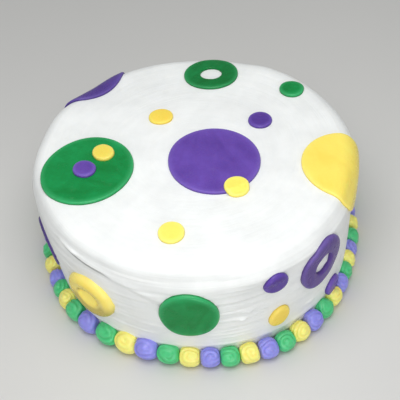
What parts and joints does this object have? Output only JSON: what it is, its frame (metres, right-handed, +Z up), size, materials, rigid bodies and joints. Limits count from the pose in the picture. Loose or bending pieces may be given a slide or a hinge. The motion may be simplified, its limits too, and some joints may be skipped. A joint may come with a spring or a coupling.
{
  "type": "birthday cake",
  "caption": "Round iced birthday cake with fondant spots and rings in purple, green and yellow, and a border of piped beads round its foot.",
  "frame": {"origin": "middle of the cake's underside, on the surface it stands on", "axes": "+Z up, -Y towards the side that the picture shows in front, +X to that side's right"},
  "size_m": [0.2356, 0.2354, 0.0901],
  "materials": {
    "white_icing": "smoothed buttercream with a soft sheen",
    "purple_fondant": "rolled fondant, satin",
    "green_fondant": "rolled fondant, satin",
    "yellow_fondant": "rolled fondant, satin",
    "bead_lavender": "piped buttercream",
    "bead_green": "piped buttercream",
    "bead_yellow": "piped buttercream"
  },
  "bodies": {
    "root": {"iced_cake": "white_icing", "bead_border": "bead_lavender", "disc_purple_top": "purple_fondant", "disc_green_top": "green_fondant", "disc_yellow_edge": "yellow_fondant", "disc_purple_edge": "purple_fondant", "disc_green_front": "green_fondant", "disc_purple_left": "purple_fondant", "disc_green_rear": "green_fondant", "disc_yellow_rear": "yellow_fondant", "ring_green_top": "green_fondant", "ring_yellow_side": "yellow_fondant", "ring_purple_side": "purple_fondant", "ring_green_rear": "green_fondant", "ring_purple_rear": "purple_fondant", "dot_yellow_back": "yellow_fondant", "dot_yellow_front": "yellow_fondant", "dot_green_top": "green_fondant", "dot_purple_top": "purple_fondant", "dot_purple_on_green": "purple_fondant", "dot_yellow_on_green": "yellow_fondant", "dot_yellow_on_purple": "yellow_fondant", "dot_purple_side": "purple_fondant", "dot_yellow_side": "yellow_fondant", "dot_purple_low": "purple_fondant", "dot_green_right": "green_fondant", "dot_yellow_rear": "yellow_fondant", "dot_purple_rear": "purple_fondant", "dot_yellow_left": "yellow_fondant", "dot_green_rear": "green_fondant"}
  },
  "joints": []
}
